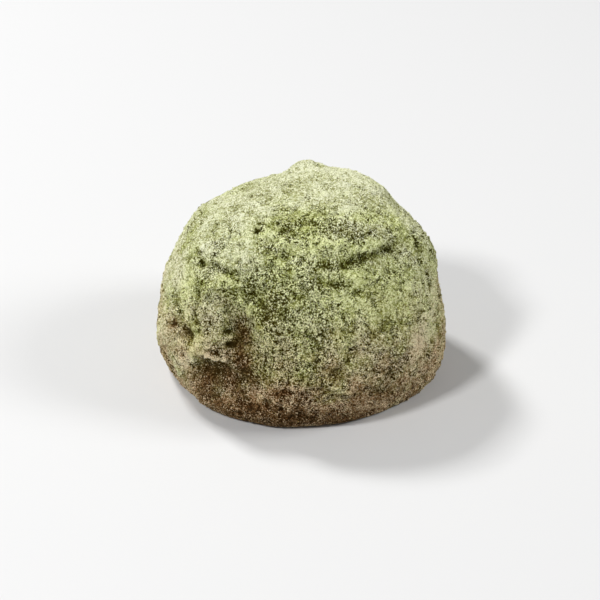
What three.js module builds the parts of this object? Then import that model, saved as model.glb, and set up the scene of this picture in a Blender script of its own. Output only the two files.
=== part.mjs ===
// A mochi rice cake: one soft lump of pounded rice dough, closed round its filling, dusted all over and
// slumped under its own weight. It was pinched shut at the back of its crown, and fingers pressed and folded
// its skin while it was warm.
//
// Millimetres, +Z up. The origin is under the middle of the cake, on the surface that it rests on.
// -Y is the front and +X the right.

import * as THREE from 'three';
import { mergeVertices } from 'three/addons/utils/BufferGeometryUtils.js';

// Driving dimensions of the lump before it was pinched and pressed.
const WIDTH = 60; // across the belly, left to right
const DEPTH = 56; // across the belly, front to back
const HEIGHT = 41; // from the footprint to the top of the crown
const BELLY_HEIGHT = 8; // how high above the footprint the cake is widest
const FOOT_SHARE = 0.88; // the flat footprint's radius as a share of the belly's
const CROWN_SQUARENESS = 2.4; // superellipse exponent above the belly: 2 is round, more is boxier
const SKIRT_SQUARENESS = 2; // the same below the belly, where the side tucks in to the footprint
const CROWN_LEAN = new THREE.Vector2(1, 3); // how far the crown has slid from over the footprint's middle

// How finely the surface is cut.
const SEGMENTS = 100; // round the axis
const CROWN_STEPS = 38; // belly to crown
const SKIRT_STEPS = 6; // footprint to belly

// How the plan outline departs from an ellipse: each wave goes round it this many times, stands out by this
// share of the radius, and has one of its crests at this azimuth, in degrees from +X towards +Y.
const PLAN_WAVES = [
  { turns: 3, share: 0.012, crest: 200 },
  { turns: 4, share: 0.01, crest: 20 },
];

/** The places on the skin that a swell or a press runs through, each given as x, y and z in millimetres. */
const places = (...triples) => triples.map((triple) => new THREE.Vector3(...triple));

// What fingers and the dough's own weight did to the skin. Each swell (rise above 0) or press (rise below 0)
// is at its full height at its places, and fades away over its reach to every side.
const HANDLING = [
  // The crown.
  { name: 'pinched tip', rise: 1.8, reach: 3.7, at: places([1, 15.5, 39]) },
  { name: 'left slope of the crown', rise: -2.2, reach: 6, at: places([-12, 10, 38], [-8, 13, 38.5]) },
  { name: 'right shoulder', rise: 0.9, reach: 5.5, at: places([11, 13, 38], [16, 9, 37]) },
  { name: 'dip below the shoulder', rise: -1.5, reach: 4.5, at: places([20.5, 7, 34]) },

  // The two sides.
  { name: 'upper left cheek', rise: 0.9, reach: 6.5, at: places([-19, 7, 33]) },
  { name: 'left side above the lobe', rise: -1.5, reach: 3.5, at: places([-29.6, -4, 16]) },
  { name: 'lower left lobe', rise: 0.7, reach: 4.5, at: places([-29.5, -8, 12]) },
  { name: 'upper right cheek', rise: 1.2, reach: 6, at: places([25, -1, 28]) },
  { name: 'notch in the right side', rise: -1.8, reach: 3.8, at: places([28.7, -0.5, 19]) },
  { name: 'lower right lobe', rise: 1, reach: 8, at: places([28.5, -9, 10]) },

  // The front: a fold that runs in from the right, and finger marks on the left.
  { name: 'fold lip', rise: 0.5, reach: 3.5, at: places([8, -13, 37.5], [15, -9, 37], [21, -2, 34]) },
  { name: 'fold', rise: -0.6, reach: 2.4, at: places([8, -16.5, 34.5], [14, -13, 34.5], [20.5, -6.5, 33]) },
  { name: 'front belly', rise: 0.6, reach: 12, at: places([4, -25, 18]) },
  { name: 'left ridge', rise: 1, reach: 3.5, at: places([-20, -8, 31], [-19, -16, 25], [-17, -20, 20]) },
  { name: 'finger hollow', rise: -2, reach: 5, at: places([-9, -18, 30], [-12, -20, 26], [-11.5, -24, 20]) },
  { name: 'ledge', rise: 0.9, reach: 3, at: places([-20, -20, 17], [-14, -23, 16.5]) },
  { name: 'hollow under the ledge', rise: -1.8, reach: 4.5, at: places([-19, -21, 11.5], [-12, -25, 10]) },

  // How the foot is drawn in.
  { name: 'left foot', rise: -1.8, reach: 5, at: places([-28.5, -8, 3.5], [-24, -14, 1]) },
  { name: 'beside the left foot', rise: -0.6, reach: 4, at: places([-18, -20.5, 1], [-10, -24, 0]) },
  { name: 'right foot', rise: -1.9, reach: 7, at: places([3, -28, 1], [21, -22, 2]) },

  // The back.
  { name: 'palm press', rise: -1.2, reach: 9, at: places([15, 20, 22]) },
  { name: 'back lobe', rise: 0.8, reach: 9, at: places([-11, 24, 11]) },
  { name: 'gather from the tip', rise: -0.8, reach: 2.6, at: places([-2, 19, 36.5], [-6, 24, 29]) },
  { name: 'second gather', rise: -0.7, reach: 2.4, at: places([5, 19.5, 36], [9, 24, 28]) },
];

/** The lump's half profile, from the middle of the footprint up to the crown, as (radius, height) points. */
function halfProfile() {
  const belly = WIDTH / 2;
  const foot = belly * FOOT_SHARE;
  const points = [new THREE.Vector2(0, 0)];
  for (let step = 0; step < SKIRT_STEPS; step += 1) {
    const turn = (Math.PI / 2) * (step / SKIRT_STEPS);
    const out = Math.sin(turn) ** (2 / SKIRT_SQUARENESS);
    const up = 1 - Math.cos(turn) ** (2 / SKIRT_SQUARENESS);
    points.push(new THREE.Vector2(foot + (belly - foot) * out, BELLY_HEIGHT * up));
  }
  for (let step = 0; step <= CROWN_STEPS; step += 1) {
    const turn = (Math.PI / 2) * (step / CROWN_STEPS);
    const out = step === CROWN_STEPS ? 0 : Math.cos(turn) ** (2 / CROWN_SQUARENESS);
    const up = Math.sin(turn) ** (2 / CROWN_SQUARENESS);
    points.push(new THREE.Vector2(belly * out, BELLY_HEIGHT + (HEIGHT - BELLY_HEIGHT) * up));
  }
  return points;
}

/** The profile turned round +Z as one closed surface, with every shared corner merged. */
function turnedLump() {
  const lathe = new THREE.LatheGeometry(halfProfile(), SEGMENTS).rotateX(Math.PI / 2);
  lathe.deleteAttribute('normal');
  lathe.deleteAttribute('uv');
  const merged = mergeVertices(lathe);
  const corners = merged.index.array;
  const kept = [];
  for (let i = 0; i < corners.length; i += 3) {
    const [a, b, c] = [corners[i], corners[i + 1], corners[i + 2]];
    if (a !== b && b !== c && c !== a) kept.push(a, b, c);
  }
  return merged.setIndex(kept);
}

/** Moves a point of the turned lump to where the uneven, leaning one has it. */
function slump(point) {
  const azimuth = Math.atan2(point.y, point.x);
  const plan = PLAN_WAVES.reduce((share, wave) => {
    const fromCrest = azimuth - THREE.MathUtils.degToRad(wave.crest);
    return share + wave.share * Math.cos(wave.turns * fromCrest);
  }, 1);
  const lean = (point.z / HEIGHT) ** 2;
  point.x = point.x * plan + CROWN_LEAN.x * lean;
  point.y = point.y * plan * (DEPTH / WIDTH) + CROWN_LEAN.y * lean;
}

/** How far a point is from a lone place, or from the nearest of the straight stretches between several. */
function distanceTo(chain, point) {
  const nearest = new THREE.Vector3();
  let least = point.distanceTo(chain[0]);
  for (let i = 1; i < chain.length; i += 1) {
    new THREE.Line3(chain[i - 1], chain[i]).closestPointToPoint(point, true, nearest);
    least = Math.min(least, point.distanceTo(nearest));
  }
  return least;
}

/** Moves a point of the slumped lump by all the swells and presses at once: away from the middle of the lump,
 * or towards it, and only sideways below the belly, so that the footprint stays flat. */
function handle(point) {
  const rise = HANDLING.reduce((sum, mark) => {
    const reaches = distanceTo(mark.at, point) / mark.reach;
    return sum + mark.rise * Math.exp(-(reaches ** 2));
  }, 0);
  const outward = new THREE.Vector3(point.x, point.y, Math.max(point.z - BELLY_HEIGHT, 0)).normalize();
  point.addScaledVector(outward, rise);
}

/** The rice cake's skin as one closed surface, with the origin under the middle of its bounding box. */
function riceCake() {
  const lump = turnedLump();
  const position = lump.getAttribute('position');
  const point = new THREE.Vector3();
  for (let i = 0; i < position.count; i += 1) {
    point.fromBufferAttribute(position, i);
    slump(point);
    handle(point);
    position.setXYZ(i, point.x, point.y, point.z);
  }
  lump.computeBoundingBox();
  const middle = lump.boundingBox.getCenter(new THREE.Vector3());
  lump.translate(-middle.x, -middle.y, 0);
  lump.computeVertexNormals();
  return lump;
}

const dusted = new THREE.MeshStandardMaterial({ color: 0xaeb183, roughness: 0.95, metalness: 0 });

const body = new THREE.Mesh(riceCake(), dusted);
body.name = 'rice_cake';

const cake = new THREE.Group();
cake.add(body);

export default cake;
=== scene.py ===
"""Looks of the mochi rice cake: its dusted skin, the loose flour on it, and a plain pale studio.

Everything is in metres, +Z up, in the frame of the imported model: -Y is the front and +X the right. Places on
the cake are named in millimetres, and MM turns them into metres.
"""

import logging
import math
from dataclasses import astuple, dataclass, field
from enum import StrEnum

import bpy
import numpy as np
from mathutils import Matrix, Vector, noise

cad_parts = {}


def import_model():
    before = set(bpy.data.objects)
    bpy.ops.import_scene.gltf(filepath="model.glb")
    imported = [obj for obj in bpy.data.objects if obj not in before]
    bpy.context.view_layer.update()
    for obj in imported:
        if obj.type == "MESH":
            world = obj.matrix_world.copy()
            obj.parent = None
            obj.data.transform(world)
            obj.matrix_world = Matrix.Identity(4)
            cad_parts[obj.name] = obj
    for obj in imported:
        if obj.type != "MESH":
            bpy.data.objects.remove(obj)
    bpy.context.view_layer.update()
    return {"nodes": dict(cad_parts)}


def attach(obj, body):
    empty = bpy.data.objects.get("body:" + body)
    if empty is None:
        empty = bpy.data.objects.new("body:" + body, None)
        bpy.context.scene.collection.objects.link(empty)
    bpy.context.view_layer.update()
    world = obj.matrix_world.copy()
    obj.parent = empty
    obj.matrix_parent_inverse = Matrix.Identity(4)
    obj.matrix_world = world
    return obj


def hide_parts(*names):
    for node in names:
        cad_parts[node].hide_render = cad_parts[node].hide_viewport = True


MM = 0.001
NODE = "rice_cake"
BODY = "root"

USUAL_COVER = 0.6  # the cover that makes the flour neither paler nor darker
USUAL_CLUMP = 0.8  # the relief of the flour that neither lifts the skin nor paints light or shade onto it

Piece = bpy.types.Object
Socket = bpy.types.NodeSocket
Triple = tuple[float, float, float]
Span = tuple[float, float]  # from where to where, or how much on smooth and on loose flour

log = logging.getLogger("rice_cake")


class Trait(StrEnum):
    """What the skin's mesh says about each of its vertices, each in an attribute of this name."""

    RISE = "rise"  # how far the marks stand out, in millimetres
    FLOUR = "flour"  # how much more or less flour the marks put there; less flour in creases, pits, nicks and hollows also paints their shade
    BROWN = "brown"  # how brown the dough and the flour on it are, with painted shade and a painted red reflection that darken and redden it towards the bottom
    LOOSE = "loose"  # how loose the flour is, 0 rubbed smooth and 1 all clods and gaps
    TINT = "tint"  # the flour's hue, 0 greyish and 1 yellow-green
    CLUMP = "clump"  # the flour's relief, 0 in a gap and 1 on a clod
    COVER = "cover"  # how much flour there is, 0 on bare dough and 1 where it hides the dough


def srgb(*parts: int) -> tuple[float, ...]:
    """Turns a screen colour into the linear colour that shaders take.

    Args:
        *parts: Its red, green and blue, from 0 to 255.

    Returns:
        The linear red, green, blue and an alpha of 1.
    """
    shares = [part / 255 for part in parts]
    linear = [share / 12.92 if share <= 0.04045 else ((share + 0.055) / 1.055) ** 2.4 for share in shares]
    return (*linear, 1.0)


class Number:
    """A number's socket in a node tree, on which Python's operators add Math nodes."""

    def __init__(self, graph: "Graph", socket: Socket) -> None:
        """Wraps one output socket of a graph."""
        self.graph = graph
        self.socket = socket

    def maths(self, operation: str, first: "Number | float", second: "Number | float") -> "Number":
        """Adds one Math node.

        Args:
            operation: The Math node's operation.
            first: Its first number.
            second: Its second number.

        Returns:
            The node's result.
        """
        node = self.graph.node("ShaderNodeMath", {"operation": operation}, {0: first, 1: second})
        return Number(self.graph, node.outputs[0])

    def __add__(self, other: "Number | float") -> "Number":
        """Adds a number."""
        return self.maths("ADD", self, other)

    def __sub__(self, other: "Number | float") -> "Number":
        """Takes a number away."""
        return self.maths("SUBTRACT", self, other)

    def __rsub__(self, other: "Number | float") -> "Number":
        """Is taken away from a number."""
        return self.maths("SUBTRACT", other, self)

    def __mul__(self, other: "Number | float") -> "Number":
        """Multiplies by a number."""
        return self.maths("MULTIPLY", self, other)

    def ramp(self, start: float, end: float) -> "Number":
        """Rises smoothly from 0 to 1.

        Args:
            start: Where it is still 0.
            end: Where it has reached 1. Below start, the ramp falls instead.

        Returns:
            The ramp's height at this number.
        """
        if end < start:
            return 1 - self.ramp(end, start)
        settings = {"interpolation_type": "SMOOTHSTEP", "clamp": True}
        node = self.graph.node("ShaderNodeMapRange", settings, {"Value": self, 1: start, 2: end})
        return Number(self.graph, node.outputs[0])


@dataclass
class Graph:
    """One node tree, of a material or of Geometry Nodes, and the one way in which nodes are added to it."""

    tree: bpy.types.NodeTree

    def node(self, kind: str, settings: dict | None = None, inputs: dict | None = None) -> bpy.types.Node:
        """Adds a node.

        Args:
            kind: The node's type, as bpy names it.
            settings: Its own settings, which are set first because they can change its sockets.
            inputs: A value or a link for each socket, by the socket's name or number.

        Returns:
            The new node.
        """
        node = self.tree.nodes.new(kind)
        for name, value in (settings or {}).items():
            setattr(node, name, value)
        for key, value in (inputs or {}).items():
            socket = node.inputs[key]
            if isinstance(value, Number):
                value = value.socket
            if isinstance(value, Socket):
                self.tree.links.new(value, socket)
            else:
                socket.default_value = value
        return node

    def noise(self, place: Socket, size: float, detail: float = 2.0, rough: float = 0.5) -> Number:
        """Smooth noise about 0.5.

        Args:
            place: The point it is read at.
            size: How far apart its lumps are, in metres.
            detail: How many finer layers it has.
            rough: How strong each finer layer is.

        Returns:
            The noise's height.
        """
        inputs = {"Vector": place, "Scale": 1 / size, "Detail": detail, "Roughness": rough}
        return Number(self, self.node("ShaderNodeTexNoise", {"noise_dimensions": "3D"}, inputs).outputs[0])

    def cells(self, place: Socket, size: float) -> tuple[Number, Number]:
        """Cuts space into uneven cells.

        Args:
            place: The point that they are read at.
            size: How far apart they are, in metres.

        Returns:
            How far the point is from the middle of its cell, about 1 at the far corners, and the cell's own
            random number about 0.5.
        """
        inputs = {"Vector": place, "Scale": 1 / size, "Randomness": 1.0}
        node = self.node("ShaderNodeTexVoronoi", {"feature": "F1"}, inputs)
        return Number(self, node.outputs["Distance"]), Number(self, node.outputs["Color"])

    def trait(self, name: Trait) -> Number:
        """Reads one of the mesh's attributes in a material."""
        return Number(self, self.node("ShaderNodeAttribute", {"attribute_name": name}).outputs["Fac"])

    def height(self, vector: Socket) -> Number:
        """Reads how far up a vector goes."""
        return Number(self, self.node("ShaderNodeSeparateXYZ", inputs={0: vector}).outputs["Z"])

    @staticmethod
    def between(share: Number, first: float, second: float) -> Number:
        """Goes from one number to another as the share goes from 0 to 1."""
        return share * (second - first) + first

    def mix(self, share: Number | float, first: Socket | tuple, second: Socket | tuple) -> Socket:
        """Blends two colours.

        Args:
            share: How much of the second colour shows.
            first: A colour, or a colour's socket.
            second: The other one.

        Returns:
            The blend's socket.
        """
        inputs = {"Factor": share, 6: first, 7: second}
        settings = {"data_type": "RGBA", "clamp_factor": True}
        return self.node("ShaderNodeMix", settings, inputs).outputs[2]


@dataclass(frozen=True)
class Mark:
    """Something that was done to a place on the cake. It fades away over its reach to every side."""

    name: str
    reach: float  # millimetres
    path: tuple[Triple, ...]  # the places it runs through, in millimetres
    rise: float = 0.0  # how far the skin stands out there, in millimetres
    flour: float = 0.0  # how much more flour than usual lies there; less in a crease, pit or hollow also stands for its shade
    brown: float = 0.0  # how much browner than usual it is; in the hollows and at the foot this is painted shade and a painted red reflection
    loose: float = 0.0  # how much looser than usual the flour is
    tint: float = 0.0  # how much greener than usual the flour is

    def strength(self, points: np.ndarray) -> np.ndarray:
        """Works out how strong the mark is at points.

        Args:
            points: Points on the cake in millimetres, one a row.

        Returns:
            A strength for each point, 1 on the mark's path and 0 far from it.
        """
        path = np.array(self.path, float)
        nearest = np.linalg.norm(points - path[0], axis=1)
        for start, end in zip(path[:-1], path[1:], strict=True):
            way = end - start
            share = np.clip((points - start) @ way / (way @ way), 0, 1)
            nearest = np.minimum(nearest, np.linalg.norm(points - start - share[:, None] * way, axis=1))
        return np.exp(-((nearest / self.reach) ** 2))


MARKS = (
    # What sets one side of the cake apart from another.
    Mark("crown", 12, ((-4, 7, 42), (8, 9, 41)), flour=0.22, loose=-0.6, tint=-0.35),
    Mark("left of the crown", 4, ((-10.6, 12.2, 35.6), (-8.3, 1, 40), (-2.2, 2.9, 40.9)), flour=-0.27),
    Mark("thin flour beside it", 2.2, ((-13.4, 0.5, 38.5),), flour=-0.2),
    Mark("pale streak of the crown", 1.8, ((-6.2, -2.6, 40.2), (-2, -3, 40.6)), flour=0.28),
    Mark("left slope", 7, ((-14, 4, 38), (-22, -1, 33), (-28, -2, 24)), flour=0.15, loose=-0.5, tint=-0.25),
    Mark("left side", 5, ((-28, -6, 18), (-28, -10, 12)), loose=-0.2, tint=0.1, flour=0.15, brown=-0.25),
    Mark("cheek above the foot", 1.8, ((-22.5, -18.1, 12.5), (-24, -16.8, 10.5)), flour=0.7, brown=-0.15),
    Mark("pale strip of the cheek", 2.2, ((-26.7, -8.5, 24), (-22.8, -12, 26.5)), flour=0.25),
    Mark("cheek", 3, ((-22.3, -11.5, 29), (-22.3, -14.9, 25.1), (-22.4, -17.8, 17)),
         flour=0.26, loose=-0.1, tint=0.3),
    Mark("shade on the cheek", 1.8, ((-18.3, -14.5, 28.6),), flour=-0.7),
    Mark("right shoulder", 6, ((16, 6, 37), (22, 2, 33)), flour=0.1, loose=-0.2),
    Mark("above the fold's tail", 3, ((14, -6, 37.5), (20.5, -5, 34.5)), tint=0.5),
    Mark("brow", 5, ((-9, -9, 37), (0, -10, 38.5), (8, -10, 38.5)), loose=0.2, tint=0.3),
    Mark("front", 8, ((-7, -17, 30), (1, -22, 28), (-2, -26, 20)), loose=0.45, flour=0.03, tint=0.3),
    Mark("belly", 4, ((7, -20, 30), (6, -25, 24.5), (3, -27, 19)), flour=0.05, loose=-0.1),
    Mark("left of the middle", 3.5, ((-1.5, -21.3, 29.3), (-6.5, -22.3, 25)), flour=-0.52),
    Mark("right of it", 2, ((1.8, -22.4, 29.3), (1.8, -25.5, 24.2), (2, -27, 20)), flour=0.2),
    Mark("pale clods above the front", 1.5, ((-2, -19.8, 31.2),), flour=0.3),
    Mark("pale clods above the belly", 1.8, ((2, -21.6, 30), (6, -21.8, 29.7), (9.8, -21.3, 29.1)),
         flour=0.22),
    Mark("front of the crown", 4, ((-2, -6, 40.3), (5, -6.5, 40)), flour=-0.18),
    Mark("right of the front", 6.5, ((13, -18, 29), (20, -17, 26)), loose=-0.1, flour=0.04, tint=0.5),
    Mark("lower right", 6.5, ((18, -22, 13), (26, -14, 9)), loose=-0.15, flour=-0.14, tint=-0.1),
    Mark("worn patch of it", 3.2, ((16, -22.5, 15), (18, -21.5, 12.5)), loose=0.3, flour=-0.1, tint=-0.2),
    # More flour along the lower right edge, partly a painted highlight of the light from the right.
    Mark("lower right edge", 3, ((22.8, -18, 8.5), (26.5, -13, 8), (28, -9, 8)), flour=0.18),
    Mark("thin flour above the right foot", 2.2, ((17.8, -20.8, 6.5),), flour=-0.4),
    Mark("right side", 4.5, ((28.5, -7, 13), (28.5, -4, 22)), loose=-0.2, brown=0.03, tint=0.1, flour=0.15),
    # More flour along the right edge, partly a painted highlight of the light from the right.
    Mark("right edge", 3, ((22, -12.9, 27.6), (26.3, -9, 22.5), (26.3, -13.5, 16.5), (23, -18, 13)),
         flour=0.34),
    Mark("green rim on the right", 2.5, ((28.5, -10.5, 15), (29, -9.5, 8)), brown=-0.2, tint=0.2, flour=0.1),
    Mark("pale patch beside it", 2.2, ((22.4, -17.6, 15.2), (26.4, -12.5, 19)), flour=0.35),
    # Painted shade and a painted red reflection along the front's foot, with less flour.
    Mark("foot of the front", 5, ((-14, -22, 3), (0, -27, 3), (12, -25.5, 3)), brown=0.75, flour=-0.5),
    Mark("pale patch of it", 2.5, ((3.5, -27.5, 6.5), (8, -27, 8.5), (9.9, -25.8, 5.7), (14.1, -23.2, 3.9)),
         flour=0.5),
    Mark("above the foot of the front", 5, ((-7, -25, 13), (3, -28, 10), (9, -27, 8)),
         brown=0.08, flour=-0.26, tint=0.1),
    Mark("foot of the back", 9, ((-26, 12, 6), (-15, 24, 6), (6, 27, 6), (23, 17, 6), (29, 4, 6)),
         brown=-0.3),
    # The crown and its slopes; the less flour in their wrinkles, pokes and nicks is partly painted shade.
    Mark("wrinkle in the crown", 1, ((-5, 8, 40.5), (3, 6, 41), (9, 7, 40.5)), rise=-0.25, flour=-0.15),
    Mark("dotted patch", 1.8, ((-9.6, 2, 39.5),), flour=-0.15),
    Mark("speckled slope", 2.5, ((-15, -9, 36), (-12, -4, 38)), loose=0.2),
    Mark("thin flour at the temple", 1.8, ((-18.3, -6.3, 34.9),), flour=-0.25),
    Mark("poke in the brow", 0.7, ((-8.8, -9.5, 37.8),), rise=-0.95, flour=-2.4),
    Mark("smooth left brow", 4, ((-12, -13, 35), (-9, -11, 37), (-10.3, -6, 38.8)),
         flour=0.06, loose=-0.5, tint=-0.3),
    Mark("pale patch of it", 1.5, ((-6.1, -11, 37.7),), flour=0.35),
    Mark("smooth patch beside it", 2.5, ((-3, -15, 36.3), (-7, -15.5, 35)), loose=-0.2),
    Mark("pale above the wrinkle", 1.4, ((-19.7, -8.9, 33.5),), flour=0.5, loose=-0.3, tint=-0.4),
    Mark("pale above the wrinkle's end", 1.6, ((-14, -14, 32.6), (-12.8, -13.8, 33.6)),
         flour=0.3, loose=-0.2),
    Mark("crease at the temple", 0.8, ((-21, -8.1, 32.9), (-20.3, -11.2, 31.7)), rise=-0.4, flour=-0.72),
    Mark("edge streaks", 1.5, ((-22, -0.7, 33.1), (-24.2, -3, 30)), tint=0.8, flour=-0.5, rise=-0.15),
    Mark("worn spot on the brow", 1.4, ((-3.6, -10.5, 38.4), (-1.4, -10.9, 38.4)), rise=-0.55, flour=-0.45),
    Mark("worn spot below it", 1.5, ((-7.2, -13.2, 36.3), (-4.8, -14.4, 36)), rise=-0.4, flour=-0.35),
    Mark("lump between them", 1, ((-3.5, -13.1, 37.1),), rise=0.45, flour=0.75, tint=0.3),
    Mark("nick in the brow", 0.7, ((0.4, -16.7, 35.1),), rise=-0.55, flour=-0.87),
    Mark("thin flour beside the nick", 1.5, ((-2.3, -17.1, 34.5), (-6.2, -19, 29.6)), flour=-0.27),
    Mark("lump below the nick", 1.5, ((1.8, -18.4, 33.8),), rise=0.3, flour=0.8),
    Mark("grey patch", 2.4, ((8, -10.5, 38), (13, -9.8, 37.2), (16, -7.8, 36.6)), flour=-0.35, tint=-0.6),
    Mark("thin flour on the brow", 2, ((-3.5, -9.5, 38.9), (1.5, -9, 39.2), (5.5, -10, 38.8)), flour=-0.45),
    Mark("thin flour below it", 1.4, ((2, -11.7, 38.2), (10, -11.2, 37.4)), flour=-0.22),
    Mark("pale patch of the brow", 1.6, ((5.5, -6, 40), (9.8, -5.5, 39.4)), flour=0.25),
    Mark("dark patch of the crown", 2, ((14, 2, 38.6), (13.6, -1, 38.8)), flour=-0.35),
    # The wrinkle across the left cheek, and what hangs below it; the less flour in the wrinkle is partly
    # painted shade.
    Mark("wrinkle's start", 1, ((-20.3, -11.4, 31.4),), rise=-0.45, flour=-0.51, tint=0.3),
    Mark("wrinkle", 0.6, ((-20, -11.6, 31.4), (-17, -13.6, 31.6), (-14, -15.4, 31.2)),
         rise=-0.6, flour=-0.45),
    Mark("wrinkle's end", 0.9, ((-14, -15.2, 31.3), (-12.9, -15.9, 31)), rise=-0.25, flour=-0.25, tint=0.3),
    Mark("roll under the wrinkle", 1.6, ((-20, -14, 28), (-15, -17, 29)), rise=0.7, flour=0.05, tint=0.6),
    # The fold that runs in from the right, and the curl that it ends in; the less flour in them is partly
    # painted shade.
    Mark("fold's tail", 0.5, ((21.5, -5, 33.2), (19.8, -7.4, 33.6)), rise=-0.4, flour=-0.35),
    Mark("fold's upper end", 1, ((18.9, -8.6, 33.9), (17.8, -9.8, 33.7)), rise=-0.7, flour=-0.65),
    Mark("fold", 0.7, ((18, -9.8, 33.6), (15.2, -12.2, 33.9), (12.4, -14.3, 34.1)), rise=-1.1, flour=-1.2),
    Mark("fold's lower end", 1.1, ((11, -15.2, 34), (8.4, -16.4, 34)), rise=-0.6, flour=-1.05),
    Mark("shade under the fold", 1.8, ((13.8, -15, 33),), flour=-0.15),
    Mark("lip over the fold", 1.5, ((3, -13.2, 37), (9.8, -13.9, 36), (15.9, -10.4, 35.1)),
         rise=0.4, flour=0.5, tint=0.5),
    Mark("curl's head", 1.1, ((4.6, -17.3, 34.5), (6, -17.6, 34)), rise=-0.55, flour=-0.95),
    Mark("curl's back", 0.8, ((2.4, -18.3, 33.7), (3.8, -20, 32.1), (7.4, -20.3, 31)),
         rise=-0.6, flour=-1.01),
    Mark("inside the curl", 1.2, ((5.2, -18.7, 33),), rise=0.25, flour=0.45),
    # The front, with the gaps between its clods, whose less flour is partly painted shade.
    Mark("gap right of the curl", 0.7, ((11, -20.4, 29.8), (12.4, -20, 29.3)), rise=-0.7, flour=-1.09),
    Mark("gap beside it", 0.8, ((14.2, -19.8, 28.4),), rise=-0.55, flour=-0.87),
    Mark("gap above the belly", 0.9, ((5.8, -23, 28.1),), rise=-0.7, flour=-0.8),
    Mark("spot right of the belly", 1, ((17.6, -20.6, 23.2), (16.6, -21.6, 22.8)), rise=-0.3, flour=-0.45),
    Mark("next spot", 1, ((15.4, -22.7, 21.9), (13.6, -23.6, 22)), rise=-0.3, flour=-0.5),
    Mark("spot on the belly", 1.1, ((8.6, -25, 23.4), (6.4, -25.5, 23.5)), rise=-0.4, flour=-0.35),
    Mark("its left neighbour", 1, ((4.4, -25.7, 23.6),), rise=-0.4, flour=-0.72),
    Mark("crease in the belly", 0.6, ((0.6, -25.9, 23.2), (3.6, -27, 20.3)), rise=-0.7, flour=-1.09),
    Mark("row of gaps", 0.8, ((10.6, -25.7, 20), (9, -26.8, 17.8)), rise=-0.55, flour=-0.7),
    Mark("gap at the row's foot", 1.2, ((7.6, -27.5, 15.6), (6.6, -27.8, 14.8)), rise=-0.55, flour=-0.5),
    Mark("hole below the row", 1, ((7.2, -27.6, 15.4), (8.2, -27.4, 14.2)), rise=-0.5, flour=-0.15),
    Mark("pale clods below the spots", 1.8, ((5.8, -26.6, 20.6), (9.8, -25.7, 20.6)), flour=0.28),
    Mark("gaps left of the middle", 1.5, ((-9.5, -18.4, 28.2), (-6.8, -21.8, 26.6)), rise=-0.4, flour=-0.72),
    Mark("bright crease", 0.7, ((5.6, -27.9, 12.8), (10.2, -27, 10)), rise=0.4, flour=0.4, tint=0.5),
    Mark("gap above the foot", 1, ((-4.6, -27.5, 10), (-2.8, -27.9, 10.4)), rise=-0.4, flour=-0.72),
    Mark("smooth green patch", 2, ((16.4, -19.9, 26.1), (20, -17.4, 26)), flour=0.1, loose=-0.3, tint=0.25),
    Mark("green clods", 1.8, ((9, -23.8, 26), (8.6, -26, 21)), flour=-0.1, tint=0.6),
    Mark("yellow-green above the foot", 3, ((-7, -26.5, 13.5), (0, -28, 14), (6, -27.6, 13)),
         tint=0.4, brown=-0.12),
    Mark("thin flour below the belly", 1.8, ((-1, -27.2, 18), (6, -27.5, 17.5)), flour=-0.25),
    Mark("thin flour on the left foot", 2.4, ((-10.5, -24.8, 6), (-2, -27.5, 3.5)), flour=-0.34),
    # The left ridge, the finger hollow and the ledge; the darker, browner flour in the hollow and under the
    # ledge is painted shade.
    Mark("gap in the ridge", 0.8, ((-11.1, -18.3, 27.4),), rise=-0.55, flour=-0.87),
    Mark("hollow's left edge", 1, ((-12.5, -18.4, 26.8), (-10.4, -20.2, 25)), rise=0.9, flour=0.3, tint=0.6),
    Mark("hollow's right edge", 1, ((-8.3, -22.2, 24.4), (-5.7, -25, 21.1)), rise=1, tint=0.4),
    Mark("hollow", 1.8, ((-15.2, -18.2, 26.2), (-12.9, -20, 23.4), (-11.6, -22, 20.2)),
         rise=-1.3, flour=-0.12, brown=0.2),
    Mark("hollow's darkest part", 1.3, ((-12.4, -20.7, 22.5), (-10.8, -22.2, 19.9)),
         rise=-0.8, flour=-0.65, brown=0.2),
    Mark("hollow's floor", 2.4, ((-13, -22.8, 19), (-10.8, -24.3, 15)), flour=-0.62, brown=0.33, loose=-0.1),
    Mark("round about the print", 2.4, ((-14.5, -21.9, 20),), flour=0.2),
    Mark("round print", 0.5, ((-13.4, -22.6, 20), (-13.6, -22.2, 20.9), (-14.4, -21.5, 21.3),
         (-15.2, -21.2, 20.9), (-15.6, -21.2, 20), (-15.4, -21.6, 19.1), (-14.6, -22.2, 18.7),
         (-13.8, -22.6, 19.1), (-13.4, -22.6, 20)),
         rise=-1, flour=-2.5),
    Mark("round print's middle", 0.6, ((-14.5, -21.9, 20),), rise=0.3, flour=1, tint=0.4),
    Mark("ledge's crest", 0.46, ((-19, -21, 15.2), (-16.8, -22.4, 15.2), (-15, -23.1, 15.7)),
         rise=0.9, flour=1.6, loose=-0.4, tint=-0.4),
    Mark("strip above the ledge", 0.7, ((-18.2, -21.8, 16.6), (-16.6, -22.6, 16.5)), rise=-0.9, flour=-1.16),
    Mark("above the ledge", 2, ((-18.5, -20.2, 17.5), (-21.5, -18.8, 15)), rise=0.7, flour=0.4, tint=0.9),
    # Painted shade under the ledge, as less flour.
    Mark("under the ledge", 4, ((-19, -19.5, 11), (-13.5, -23.5, 11.5), (-18, -20, 7)),
         flour=-0.55, tint=-0.5),
    Mark("dent under the ledge", 2.2, ((-20, -19.4, 11), (-16.5, -22, 12)), rise=-1.8, flour=-0.45),
    Mark("pale patch under it", 1.5, ((-15.9, -22, 7.6), (-14, -23, 6.9)),
         flour=0.35, loose=-0.2, brown=-0.7, tint=-0.4),
    Mark("crumbs at the ledge's end", 1.2, ((-10.2, -24.5, 15.1),), rise=0.25, flour=0.7, tint=0.4),
    Mark("crumbs above the foot", 1.2, ((-8.6, -25.7, 8.1),), flour=0.6, tint=0.5, brown=-0.25),
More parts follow.
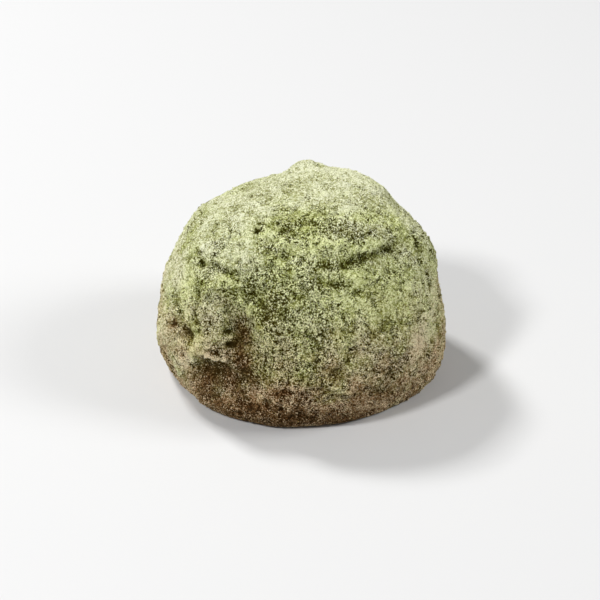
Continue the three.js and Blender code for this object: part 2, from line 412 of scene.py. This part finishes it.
    # The lower left lobe; the less flour in its notch, pit and creases is partly painted shade.
    Mark("lobe's end", 2.5, ((-28.4, -10.8, 14.7),), rise=0.7, loose=-0.3, tint=-0.3),
    Mark("notch above the lobe", 1.5, ((-29, -4, 19), (-28.3, -8.5, 19.5)), rise=-1.3, flour=-0.43),
    Mark("brown spot", 1.2, ((-26.2, -13, 17.9),), rise=-0.6, flour=-1.16, brown=0.5),
    Mark("pit in the lobe", 1.1, ((-23.4, -16.4, 18.4), (-22.8, -17.3, 17.4)), rise=-1.3, flour=-1.52),
    Mark("crease in the cheek", 0.8, ((-25.3, -11.7, 22.6), (-24.5, -14.3, 20.6), (-25.3, -14.5, 17.2)),
         rise=-0.8, flour=-0.48),
    Mark("crease beside the ridge", 0.8, ((-21, -15.5, 26.9), (-21.7, -16.7, 23.3), (-20.8, -19.1, 20.1)),
         rise=-0.9, flour=-0.72),
    Mark("overlap at the foot", 0.9, ((-28.5, -9, 10), (-27.8, -11.5, 6), (-25, -15, 3.5)),
         rise=-1.4, flour=-0.87),
    Mark("left foot", 3, ((-27.3, -12.4, 7.9), (-24, -16, 3)), rise=-0.5),
    Mark("pale foot's edge", 1.6, ((-26.4, -14, 10), (-25.6, -15, 7.2), (-23.6, -15.2, 3.4)),
         flour=0.15, loose=-0.4, tint=-0.3, brown=-0.35),
    # The right edge; the less flour in its nicks and dents is partly painted shade.
    Mark("upper nick", 0.6, ((23.2, -4.6, 32.4), (24.4, -4.8, 31)), rise=-0.45, flour=-1.01),
    Mark("edge line", 0.6, ((25.7, -7.6, 26.6), (26.3, -9.1, 23.4)), rise=-0.45, flour=-0.87),
    Mark("gap near the edge", 0.8, ((22.6, -14.3, 25),), rise=-0.4, flour=-0.62),
    Mark("pale clods near the edge", 1.8, ((18.5, -19.6, 24), (22.2, -17.3, 22.6)), flour=0.22),
    Mark("dent in the edge", 0.9, ((28.1, -10.4, 16.4), (28.6, -9.8, 13)), rise=-0.45, flour=-0.72),
    Mark("right foot", 3, ((24, -16, 4), (14, -24, 1.5)), rise=-0.5),
    # The sides and the back; the less flour in their wrinkles is partly painted shade.
    Mark("back wrinkle", 0.8, ((-12, 22, 24), (-4, 26, 21), (6, 26.5, 22)), rise=-0.7, flour=-0.87),
    Mark("right side wrinkle", 0.7, ((27, 8, 24), (28.8, 2, 19), (29, -3, 13)), rise=-0.55, flour=-0.65),
    Mark("loose patch on the back", 6, ((10, 24, 18), (18, 18, 20)), loose=0.3, flour=-0.15),
    Mark("green patch on the back", 7, ((-14, 18, 26), (-20, 14, 20)), tint=0.4),
)


@dataclass(frozen=True)
class Shades:
    """The colours that one kind of flour has, from its gaps to its tops."""

    gap: tuple
    body: tuple
    top: tuple


@dataclass(frozen=True)
class Powder:
    """How dry flour takes the light: matt, and a little brighter where it is seen at a grazing angle."""

    roughness: float = 0.95
    shine: float = 0.0
    sheen: float = 0.12
    sheen_tint: tuple = srgb(240, 236, 180)

    def material(self, name: str) -> tuple[bpy.types.Material, Graph, bpy.types.Node]:
        """Starts a material.

        Args:
            name: The material's name.

        Returns:
            The material, its graph, and its shader, which has no colour of its own yet.
        """
        material = bpy.data.materials.new(name)
        material.use_nodes = True
        shader = material.node_tree.nodes["Principled BSDF"]
        shader.inputs["Roughness"].default_value = self.roughness
        shader.inputs["Specular IOR Level"].default_value = self.shine
        shader.inputs["Sheen Weight"].default_value = self.sheen
        shader.inputs["Sheen Tint"].default_value = self.sheen_tint
        return material, Graph(material.node_tree), shader


@dataclass(frozen=True)
class DustedDough:
    """The skin's finish: flour over dough, pale on its grains and dark in its gaps, where the dough shows and
    painted shade stands for the shadows between grains. Sizes are in metres.
    """

    grey: Shades = Shades(srgb(57, 52, 0), srgb(168, 170, 110), srgb(250, 252, 221))
    green: Shades = Shades(srgb(54, 50, 0), srgb(164, 172, 86), srgb(245, 250, 194))
    # Browner dough, and also the painted shade and painted red reflection at the cake's foot.
    brown: Shades = Shades(srgb(53, 27, 0), srgb(149, 110, 70), srgb(246, 224, 185))
    usual_tone: float = 0.66
    cover_change: float = 1.35  # how much the flour's cover changes the tone
    grain_size: float = 0.22 * MM
    grain_change: float = 1.4  # how much the fine tone differs from grain to grain
    grain_fall: float = 0.6  # how much darker a grain is at its edge
    speck_size: float = 0.22 * MM
    speck_change: float = 1.6  # how much finer specks add to that
    fine_change: Span = (1.35, 3.9)  # how much the fine tone changes the tone
    fine_height: float = 0.2 * MM
    clod_size: float = 0.65 * MM
    clod_lift: float = 0.22  # a clod is this much paler than usual, and the gap round it 1 less
    clod_edge: Span = (0.6, 0.85)  # how far out from its middle a clod ends, in clods
    clod_change: Span = (0.6, 3.0)  # how much the clods change the tone
    relief_shade_change: Span = (0.25, 0.5)  # painted shade in the relief's low spots and paler paint on its raised clods, on smooth and on loose flour
    gap_to_body: Span = (-0.35, 0.6)  # the tones that are all gap and all body
    body_to_top: Span = (0.45, 1.7)

    def material(self) -> bpy.types.Material:
        """Builds the finish.

        Returns:
            The new material.
        """
        material, graph, shader = Powder().material("dusted_dough")
        place = graph.node("ShaderNodeTexCoord").outputs["Object"]
        clump, cover, loose = (graph.trait(name) for name in (Trait.CLUMP, Trait.COVER, Trait.LOOSE))
        far, chance = graph.cells(place, self.grain_size)
        specks = graph.noise(place, self.speck_size, detail=1.0, rough=0.6)
        fine = (chance - 0.5) * self.grain_change + (0.5 - far) * self.grain_fall
        fine = fine + (specks - 0.5) * self.speck_change
        tone = (cover - USUAL_COVER) * self.cover_change + self.usual_tone
        tone = tone + fine * graph.between(loose, *self.fine_change)
        inputs = {"Vector": place, "Scale": 1 / self.clod_size}
        warp = graph.node("ShaderNodeTexNoise", {"noise_dimensions": "3D"}, inputs)
        inputs = {0: warp.outputs["Color"], 1: (self.clod_size,) * 3, 2: place}
        warped = graph.node("ShaderNodeVectorMath", {"operation": "MULTIPLY_ADD"}, inputs)
        clods = self.clod_lift - graph.cells(warped.outputs[0], self.clod_size)[0].ramp(*self.clod_edge)
        tone = tone + clods * graph.between(loose, *self.clod_change)
        # Painted shade in the relief's low spots, and paler paint on its raised clods.
        tone = tone + (clump - USUAL_CLUMP) * graph.between(loose, *self.relief_shade_change)
        colour = self.colour(graph, tone, graph.trait(Trait.TINT), graph.trait(Trait.BROWN))
        graph.tree.links.new(colour, shader.inputs["Base Color"])
        inputs = {"Strength": 1.0, "Distance": self.fine_height, "Height": fine}
        bump = graph.node("ShaderNodeBump", inputs=inputs)
        graph.tree.links.new(bump.outputs[0], shader.inputs["Normal"])
        return material

    def colour(self, graph: Graph, tone: Number, tint: Number, brown: Number) -> Socket:
        """Blends the shades of the three kinds of flour.

        Args:
            graph: The material's graph.
            tone: How pale the flour is.
            tint: How green it is.
            brown: How brown it is, with the painted shade and painted red reflection towards the bottom.

        Returns:
            The colour.
        """
        shades = zip(astuple(self.grey), astuple(self.green), astuple(self.brown), strict=True)
        gap, body, top = (
            graph.mix(brown, graph.mix(tint, grey, green), browned) for grey, green, browned in shades
        )
        colour = graph.mix(tone.ramp(*self.gap_to_body), gap, body)
        return graph.mix(tone.ramp(*self.body_to_top), colour, top)


@dataclass(frozen=True)
class CrumbFinish:
    """The finish of loose flour: each bit has about the hue of what it lies on, and a tone of its own."""

    name: str
    tone: float  # the usual bit's tone
    greener: float = 0.0  # how much greener it is than what it lies on
    browner: float = 0.0  # how much browner; below 0, how much less brown
    cover_share: float = 0.6  # how much the cover changes its tone, next to the skin's
    change: Span = (2.0, 3.5)  # how much the tone differs from bit to bit
    hue_change: float = 0.8  # how much greener or browner one bit can be than another
    hue_size: float = 0.7 * MM
    bit_size: float = 0.25 * MM
    dough: DustedDough = DustedDough()

    def material(self) -> bpy.types.Material:
        """Builds the finish.

        Returns:
            The new material.
        """
        material, graph, shader = Powder().material(self.name)
        place = graph.node("ShaderNodeTexCoord").outputs["Object"]
        cover, loose, tint, brown = (
            graph.trait(name) for name in (Trait.COVER, Trait.LOOSE, Trait.TINT, Trait.BROWN)
        )
        hue = (graph.noise(place, self.hue_size, detail=1.0) - 0.5) * self.hue_change
        chance = graph.cells(place, self.bit_size)[1]
        tone = (cover - USUAL_COVER) * self.dough.cover_change * self.cover_share
        tone = tone + (chance - 0.5) * graph.between(loose, *self.change) + self.tone
        colour = self.dough.colour(graph, tone, tint + hue + self.greener, brown - hue + self.browner)
        graph.tree.links.new(colour, shader.inputs["Base Color"])
        return material


def alone(piece: Piece) -> None:
    """Makes a piece the only selected one, and the active one."""
    bpy.ops.object.select_all(action="DESELECT")
    piece.select_set(True)
    bpy.context.view_layer.objects.active = piece


def finish_with(piece: Piece, kind: str, **settings: object) -> None:
    """Gives a piece a modifier and applies it.

    Args:
        piece: The piece.
        kind: The modifier's type, as bpy names it.
        **settings: The modifier's settings.
    """
    modifier = piece.modifiers.new(kind.lower(), kind)
    for name, value in settings.items():
        setattr(modifier, name, value)
    alone(piece)
    bpy.ops.object.modifier_apply(modifier=modifier.name)


def points_of(piece: Piece) -> np.ndarray:
    """Reads a piece's vertices, one a row, in millimetres."""
    flat = np.empty(len(piece.data.vertices) * 3, np.float32)
    piece.data.vertices.foreach_get("co", flat)
    return flat.reshape(-1, 3).astype(float) / MM


def put_attribute(piece: Piece, name: Trait, values: np.ndarray) -> None:
    """Writes one number for each vertex into a piece's attribute."""
    attribute = piece.data.attributes.new(name, "FLOAT", "POINT")
    attribute.data.foreach_set("value", values.astype(np.float32))


def named(graph: Graph, name: Trait) -> Number:
    """Reads a number attribute of the mesh in a Geometry Nodes tree."""
    node = graph.node("GeometryNodeInputNamedAttribute", {"data_type": "FLOAT"}, {"Name": name})
    return Number(graph, node.outputs[0])


def geometry_tree(name: str) -> tuple[Graph, bpy.types.Node, bpy.types.Node]:
    """Starts a Geometry Nodes tree that takes a mesh and gives one back.

    Args:
        name: The tree's name.

    Returns:
        The tree's graph, and the nodes where the mesh comes in and goes out.
    """
    tree = bpy.data.node_groups.new(name, "GeometryNodeTree")
    tree.interface.new_socket("Geometry", in_out="INPUT", socket_type="NodeSocketGeometry")
    tree.interface.new_socket("Geometry", in_out="OUTPUT", socket_type="NodeSocketGeometry")
    graph = Graph(tree)
    return graph, graph.node("NodeGroupInput"), graph.node("NodeGroupOutput")


@dataclass
class Skin:
    """The cake's whole surface, which stands for its solid. Lengths are in metres."""

    solid: Piece
    weld: float = 0.005 * MM  # how near two of the solid's corners are joined
    subdivisions: int = 2
    voxel: float = 0.36 * MM
    smoothing: int = 3  # how many times the voxels are smoothed
    sink: float = 0.12 * MM  # how far under the solid's surface the dough lies
    waver: tuple[Span, ...] = ((3.0, 0.65), (1.2, 0.45))  # sizes and strengths, in mm
    waver_seed: int = 1  # without a seed this noise takes the clock's
    knead_size: float = 7 * MM
    knead_height: float = 0.35 * MM
    crumple_size: float = 2.2 * MM
    crumple_height: float = 0.7 * MM
    clump_size: float = 1.1 * MM
    clump_edge: Span = (0.34, 0.5)  # the noise's value in a gap and on a clod
    clump_height: Span = (0.15 * MM, 0.5 * MM)
    foot_fade: float = 1.5 * MM  # how high up the relief is full
    pleat_size: float = 1.1 * MM
    pleat_height: float = 0.9 * MM
    pleat_turn: Triple = (-0.6, -0.25, 0.0)  # turns the way that the pleats run to +Z
    pleat_stretch: Triple = (1.0, 1.0, 0.2)
    pleat_from: float = 12 * MM  # how far out to the sides the pleats begin
    pleat_to: float = 26 * MM
    crease_size: float = 6 * MM
    crease_width: float = 0.05  # how far from its middle the noise is at a crease's edge
    crease_gap_size: float = 5.4 * MM
    crease_shown: Span = (0.45, 0.6)  # a second noise's value where none shows and all do
    crease_depth: float = 0.5 * MM
    crease_cover: float = 0.35  # how much lower the cover is in a crease, which makes it darker
    patch_size: float = 3.2 * MM
    patch_change: Span = (0.9, 2.1)  # how much the cover changes from patch to patch
    patches_to_loose: float = 0.8  # how much less loose the patches with more flour are
    cluster_size: float = 2.4 * MM  # how far apart the places with looser flour are
    cluster_strength: float = 2.6
    cluster_cover: float = 0.4  # how much less flour lies where it is all loose
    usual_loose: float = 0.35  # how loose the flour is where no mark is
    usual_cover: float = 0.62
    usual_tint: float = 0.43
    # How strongly the skin is browned towards the bottom: browner dough with painted shade and a painted red
    # reflection.
    usual_brown_and_shade: float = 0.97
    hue_size: float = 5.12 * MM  # how far apart the greener places are
    hues_to_tint: float = 1.2  # how much greener they are
    hues_to_brown: float = 1.8  # how much less brown they are
    patches_to_brown: float = 0.5
    brown_steps: Span = (-0.1, 1.2)  # the sums that give none of the browning and painted shade, and all of it
    settling: float = 0.15  # how much more flour lies on what faces up
    painted_shade_heights: Span = (37 * MM, 0 * MM)  # where the browning, painted shade and painted red reflection start, and where they are strongest
    base_height: float = 0.02 * MM  # how high a face of the flat base can be
    base_facing: float = -0.999  # how far up it can look
    piece: Piece = field(init=False)

    def build(self) -> Piece:
        """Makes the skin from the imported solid.

        Returns:
            The finished piece.
        """
        self.copy_solid()
        self.press_marks()
        self.raise_relief()
        self.simplify_base()
        bpy.ops.object.shade_smooth()
        self.piece.data.materials.clear()
        self.piece.data.materials.append(DustedDough().material())
        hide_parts(NODE)
        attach(self.piece, BODY)
        return self.piece

    def copy_solid(self) -> None:
        """Copies the solid, rounds off its facets and cuts it into even small faces."""
        self.piece = bpy.data.objects.new("dusted_skin", self.solid.data.copy())
        bpy.context.scene.collection.objects.link(self.piece)
        alone(self.piece)
        bpy.ops.object.mode_set(mode="EDIT")
        bpy.ops.mesh.select_all(action="SELECT")
        bpy.ops.mesh.remove_doubles(threshold=self.weld)
        bpy.ops.mesh.tris_convert_to_quads()
        bpy.ops.object.mode_set(mode="OBJECT")
        finish_with(self.piece, "SUBSURF", levels=self.subdivisions, render_levels=self.subdivisions)
        finish_with(self.piece, "REMESH", mode="VOXEL", voxel_size=self.voxel)
        finish_with(self.piece, "SMOOTH", factor=0.5, iterations=self.smoothing)

    def press_marks(self) -> None:
        """Writes what the marks do onto the skin's vertices, with every mark's outline made uneven."""
        points = points_of(self.piece)
        noise.seed_set(self.waver_seed)
        for size, strength in self.waver:
            shifts = [noise.noise_vector(point) for point in (points / size).tolist()]
            points = points + strength * np.array(shifts)
        strengths = [mark.strength(points) for mark in MARKS]
        for name in (Trait.RISE, Trait.FLOUR, Trait.BROWN, Trait.LOOSE, Trait.TINT):
            shares = [getattr(mark, name) for mark in MARKS]
            put_attribute(self.piece, name, np.tensordot(shares, strengths, 1))

    def raise_relief(self) -> None:
        """Moves the skin out and in by its marks and its flour, and works out how the flour lies."""
        graph, start, end = geometry_tree("skin_relief")
        place = graph.node("GeometryNodeInputPosition").outputs[0]
        normal = graph.node("GeometryNodeInputNormal").outputs[0]
        up = graph.height(place)
        patches = graph.noise(place, self.patch_size, detail=3.0, rough=0.65) - 0.5
        hues = graph.noise(place, self.hue_size, detail=2.0) - 0.5
        clusters = graph.noise(place, self.cluster_size, detail=2.0, rough=0.6) - 0.5
        loose = named(graph, Trait.LOOSE) + clusters * self.cluster_strength - patches * self.patches_to_loose
        loose = (loose + self.usual_loose).ramp(0.0, 1.0)
        creases = self.creases(graph, place)
        patchy = patches * graph.between(loose, *self.patch_change)
        cover = named(graph, Trait.FLOUR) + patchy + graph.height(normal) * self.settling + self.usual_cover
        cover = cover - creases * self.crease_cover - loose * self.cluster_cover
        tint = (named(graph, Trait.TINT) + hues * self.hues_to_tint + self.usual_tint).ramp(0.0, 1.0)
        # Browner and darker towards the bottom: browner dough with painted shade and a painted red reflection.
        brown = patches * self.patches_to_brown - hues * self.hues_to_brown + self.usual_brown_and_shade
        brown = named(graph, Trait.BROWN) + brown * up.ramp(*self.painted_shade_heights)
        brown = brown.ramp(*self.brown_steps)
        clump = graph.noise(place, self.clump_size, detail=3.0, rough=0.65).ramp(*self.clump_edge)
        knead = (graph.noise(place, self.knead_size, detail=1.0) - 0.5) * self.knead_height
        crumple = (graph.noise(place, self.crumple_size, detail=2.0) - 0.5) * self.crumple_height
        out = named(graph, Trait.RISE) * MM + knead + crumple + self.pleats(graph, place)
        out = out + (clump - USUAL_CLUMP) * graph.between(loose, *self.clump_height)
        out = out - creases * self.crease_depth
        out = (out - self.sink) * up.ramp(0.0, self.foot_fade)
        offset = graph.node("ShaderNodeVectorMath", {"operation": "SCALE"}, {0: normal, "Scale": out})
        kept = start.outputs[0]
        traits = {
            Trait.CLUMP: clump, Trait.COVER: cover, Trait.LOOSE: loose, Trait.TINT: tint, Trait.BROWN: brown
        }
        settings = {"data_type": "FLOAT", "domain": "POINT"}
        for trait, value in traits.items():
            inputs = {"Geometry": kept, "Name": trait, "Value": value}
            kept = graph.node("GeometryNodeStoreNamedAttribute", settings, inputs).outputs[0]
        moved = graph.node("GeometryNodeSetPosition", inputs={"Geometry": kept, "Offset": offset.outputs[0]})
        graph.tree.links.new(moved.outputs[0], end.inputs[0])
        finish_with(self.piece, "NODES", node_group=graph.tree)

    def creases(self, graph: Graph, place: Socket) -> Number:
        """Draws thin winding creases that come and go.

        Args:
            graph: The relief's graph.
            place: The point that the creases are read at.

        Returns:
            How deep the skin is creased, from 0 to 1.
        """
        line = graph.noise(place, self.crease_size, detail=2.0, rough=0.55) - 0.5
        shown = graph.noise(place, self.crease_gap_size, detail=1.0).ramp(*self.crease_shown)
        return line.maths("ABSOLUTE", line, 0.0).ramp(self.crease_width, 0.0) * shown

    def pleats(self, graph: Graph, place: Socket) -> Number:
        """Draws fine pleats down the two sides, which lean towards the front as they go up.

        Args:
            graph: The relief's graph.
            place: The point that the pleats are read at.

        Returns:
            How far the pleats stand out.
        """
        apart = graph.node("ShaderNodeSeparateXYZ", inputs={0: place})
        across = Number(graph, apart.outputs["X"])
        inputs = {0: across.maths("ABSOLUTE", across, 0.0), 1: apart.outputs["Y"], 2: apart.outputs["Z"]}
        mirrored = graph.node("ShaderNodeCombineXYZ", inputs=inputs)
        inputs = {"Vector": mirrored.outputs[0], "Rotation": self.pleat_turn}
        turned = graph.node("ShaderNodeVectorRotate", {"rotation_type": "EULER_XYZ"}, inputs)
        inputs = {0: turned.outputs[0], 1: self.pleat_stretch}
        drawn = graph.node("ShaderNodeVectorMath", {"operation": "MULTIPLY"}, inputs)
        sides = (across * across).ramp(self.pleat_from**2, self.pleat_to**2)
        return (graph.noise(drawn.outputs[0], self.pleat_size, detail=1.0) - 0.5) * sides * self.pleat_height

    def simplify_base(self) -> None:
        """Joins the flat rest face's many small faces, because nothing on it is fine."""
        alone(self.piece)
        bpy.ops.object.mode_set(mode="EDIT")
        bpy.ops.mesh.select_mode(type="FACE")
        bpy.ops.mesh.select_all(action="DESELECT")
        bpy.ops.object.mode_set(mode="OBJECT")
        for polygon in self.piece.data.polygons:
            polygon.select = polygon.normal.z < self.base_facing and polygon.center.z < self.base_height
        bpy.ops.object.mode_set(mode="EDIT")
        bpy.ops.mesh.dissolve_limited(angle_limit=math.radians(1))
        bpy.ops.object.mode_set(mode="OBJECT")


@dataclass
class FlourLayer:
    """Loose grains of one kind, strewn over the skin. Lengths are in metres."""

    name: str
    finish: CrumbFinish
    size: float  # a usual grain's width
    corners: int  # how many a grain has round its middle
    per_area: float  # how many lie on a square metre where they lie thickest
    drawn_to: Trait  # the skin's attribute that says where they lie
    thickening: Span  # its values where the least share lies and where they lie thickest
    least: float  # the share of the thickest that lies everywhere
    seed: int
    rings: int = 2  # how many bands of faces from its bottom to its top
    shape: Triple = (1.25, 0.8, 0.45)  # a grain's length, width and height, in sizes
    uneven: float = 0.12  # how far its corners are moved, in sizes
    widths: Span = (0.55, 1.35)  # how wide the smallest and the largest are, in sizes
    covered: Span = (-0.4, 0.1)  # the cover where no grain lies and where none is left out
    heights: Span = (0.45 * MM, 0.4545 * MM)  # the heights where that is so
    piece: Piece = field(init=False)

    def build(self, skin: Piece) -> Piece:
        """Models one grain and strews copies of it.

        Args:
            skin: The skin that they lie on.

        Returns:
            The finished piece.
        """
        self.model_grain()
        self.strew(skin)
        self.piece.data.materials.clear()
        self.piece.data.materials.append(self.finish.material())
        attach(self.piece, BODY)
        return self.piece

    def model_grain(self) -> None:
        """Makes one rough grain at the origin, with no UV map left on it."""
        bpy.ops.object.select_all(action="DESELECT")
        bpy.ops.mesh.primitive_uv_sphere_add(
            segments=self.corners, ring_count=self.rings, radius=self.size / 2
        )
        self.piece = bpy.context.object
        self.piece.name = self.name
        bpy.ops.object.mode_set(mode="EDIT")
        bpy.ops.mesh.select_all(action="SELECT")
        bpy.ops.transform.resize(value=self.shape, center_override=(0, 0, 0))
        bpy.ops.transform.vertex_random(offset=self.size * self.uneven, seed=self.seed)
        bpy.ops.object.mode_set(mode="OBJECT")
        while self.piece.data.uv_layers:
            self.piece.data.uv_layers.remove(self.piece.data.uv_layers[0])

    def strew(self, skin: Piece) -> None:
        """Replaces the lone grain by many, each turned and sized at random.

        Args:
            skin: The skin that they lie on.
        """
        graph, start, end = geometry_tree(self.name)
        ground = graph.node("GeometryNodeObjectInfo", inputs={"Object": skin}).outputs["Geometry"]
        share = named(graph, self.drawn_to).ramp(*self.thickening) * (1 - self.least) + self.least
        kept = named(graph, Trait.COVER).ramp(*self.covered)
        place = graph.node("GeometryNodeInputPosition").outputs[0]
        high = graph.height(place).ramp(*self.heights)
        inputs = {"Mesh": ground, "Density": share * kept * high * self.per_area, "Seed": self.seed}
        spread = graph.node("GeometryNodeDistributePointsOnFaces", {"distribute_method": "RANDOM"}, inputs)
        inputs = {0: (0.0,) * 3, 1: (math.tau,) * 3, "Seed": self.seed}
        turn = graph.node("FunctionNodeRandomValue", {"data_type": "FLOAT_VECTOR"}, inputs)
        inputs = {2: self.widths[0], 3: self.widths[1], "Seed": self.seed + 1}
        width = graph.node("FunctionNodeRandomValue", {"data_type": "FLOAT"}, inputs)
        inputs = {
            "Points": spread.outputs["Points"], "Instance": start.outputs[0],
            "Rotation": turn.outputs[0], "Scale": width.outputs[1],
        }
        grains = graph.node("GeometryNodeInstanceOnPoints", inputs=inputs)
        real = graph.node("GeometryNodeRealizeInstances", inputs={0: grains.outputs[0]})
        graph.tree.links.new(real.outputs[0], end.inputs[0])
        finish_with(self.piece, "NODES", node_group=graph.tree)


@dataclass(frozen=True)
class SoftLight:
    """A square soft light that shines at the cake."""

    name: str
    azimuth: float  # where it hangs round the cake, in degrees from the front towards the right
    height: float  # its angle above the floor, in degrees
    size: float  # its side, in metres
    power: float  # watts

    def hang(self, aim: Vector, distance: float) -> None:
        """Hangs the light.

        Args:
            aim: The point that it shines at.
            distance: How far from that point it hangs.
        """
        data = bpy.data.lights.new(self.name, "AREA")
        data.shape = "SQUARE"
        data.size = self.size
        data.energy = self.power
        light = bpy.data.objects.new(self.name, data)
        turn, tilt = math.radians(self.azimuth), math.radians(self.height)
        way = Vector((math.sin(turn) * math.cos(tilt), -math.cos(turn) * math.cos(tilt), math.sin(tilt)))
        light.location = aim + way * distance
        light.rotation_euler = (-way).to_track_quat("-Z", "Y").to_euler()
        bpy.context.scene.collection.objects.link(light)


@dataclass
class Studio:
    """A plain pale floor, soft lights and the camera. Lengths are in metres."""

    lights: tuple[SoftLight, ...] = (
        SoftLight("key", azimuth=225, height=50, size=0.16, power=5.75),
        SoftLight("front", azimuth=312, height=46, size=0.14, power=4.6),
        SoftLight("right", azimuth=84, height=36, size=0.3, power=3.6),
    )
    light_distance: float = 0.9
    room_grey: int = 235
    room_strength: float = 0.18
    floor_size: float = 3.0
    floor_grey: int = 215
    floor_roughness: float = 0.9
    aim: Triple = (-0.0002, 0.0, 0.01537)
    distance: float = 0.5
    elevation: float = 32.0
    lens: float = 144.0

    def build(self) -> None:
        """Makes the floor, the lights and the camera."""
        self.lay_floor()
        for light in self.lights:
            light.hang(Vector(self.aim), self.light_distance)
        self.light_room()
        self.set_camera()

    def lay_floor(self) -> None:
        """Makes the floor that the cake stands on."""
        bpy.ops.object.select_all(action="DESELECT")
        bpy.ops.mesh.primitive_plane_add(size=self.floor_size, location=(0, 0, 0))
        floor = bpy.context.object
        floor.name = "floor"
        material = bpy.data.materials.new("floor")
        material.use_nodes = True
        shader = material.node_tree.nodes["Principled BSDF"]
        shader.inputs["Base Color"].default_value = srgb(*[self.floor_grey] * 3)
        shader.inputs["Roughness"].default_value = self.floor_roughness
        floor.data.materials.append(material)

    def light_room(self) -> None:
        """Gives the room an even soft light."""
        world = bpy.data.worlds.new("room")
        world.use_nodes = True
        back = world.node_tree.nodes["Background"]
        back.inputs["Color"].default_value = srgb(*[self.room_grey] * 3)
        back.inputs["Strength"].default_value = self.room_strength
        bpy.context.scene.world = world
        bpy.context.scene.view_settings.view_transform = "Standard"

    def set_camera(self) -> None:
        """Puts the camera in front of the cake, looking down at it."""
        data = bpy.data.cameras.new("camera")
        data.lens = self.lens
        camera = bpy.data.objects.new("camera", data)
        tilt = math.radians(self.elevation)
        back = Vector((0, -math.cos(tilt), math.sin(tilt))) * self.distance
        camera.location = Vector(self.aim) + back
        camera.rotation_euler = (-back).to_track_quat("-Z", "Y").to_euler()
        bpy.context.scene.collection.objects.link(camera)
        bpy.context.scene.camera = camera


def report(piece: Piece) -> None:
    """Logs a finished piece's name and how many triangles it has."""
    triangles = sum(len(polygon.vertices) - 2 for polygon in piece.data.polygons)
    log.info("%s: %d triangles", piece.name, triangles)


def main() -> None:
    """Builds the looks of the cake and its studio."""
    logging.basicConfig(level=logging.INFO, format="%(message)s")
    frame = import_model()
    skin = Skin(frame["nodes"][NODE]).build()
    report(skin)
    pale = CrumbFinish("pale_flour", 1.0, browner=-0.15)
    green = CrumbFinish("green_flour", 0.8, greener=0.4)
    beige = CrumbFinish("beige_flour", 0.8, browner=-0.3)
    clods = CrumbFinish("flour_crumbs", 0.9, browner=-0.2)
    for layer in (
        FlourLayer(
            "pale_grains", pale, size=0.27 * MM, corners=3, per_area=2.0e6,
            drawn_to=Trait.COVER, thickening=(0.2, 0.8), least=0.3, seed=3,
        ),
        FlourLayer(
            "green_grains", green, size=0.27 * MM, corners=3, per_area=2.4e6,
            drawn_to=Trait.TINT, thickening=(0.2, 0.9), least=0.2, seed=11,
        ),
        FlourLayer(
            "beige_grains", beige, size=0.27 * MM, corners=3, per_area=2.6e6,
            drawn_to=Trait.BROWN, thickening=(0.2, 0.9), least=0.05, seed=17,
        ),
        FlourLayer(
            "crumbs", clods, size=0.5 * MM, corners=5, per_area=0.5e6,
            drawn_to=Trait.LOOSE, thickening=(0.1, 0.9), least=0.4, seed=23, rings=3,
        ),
    ):
        report(layer.build(skin))
    Studio().build()


if __name__ == "__main__":
    main()
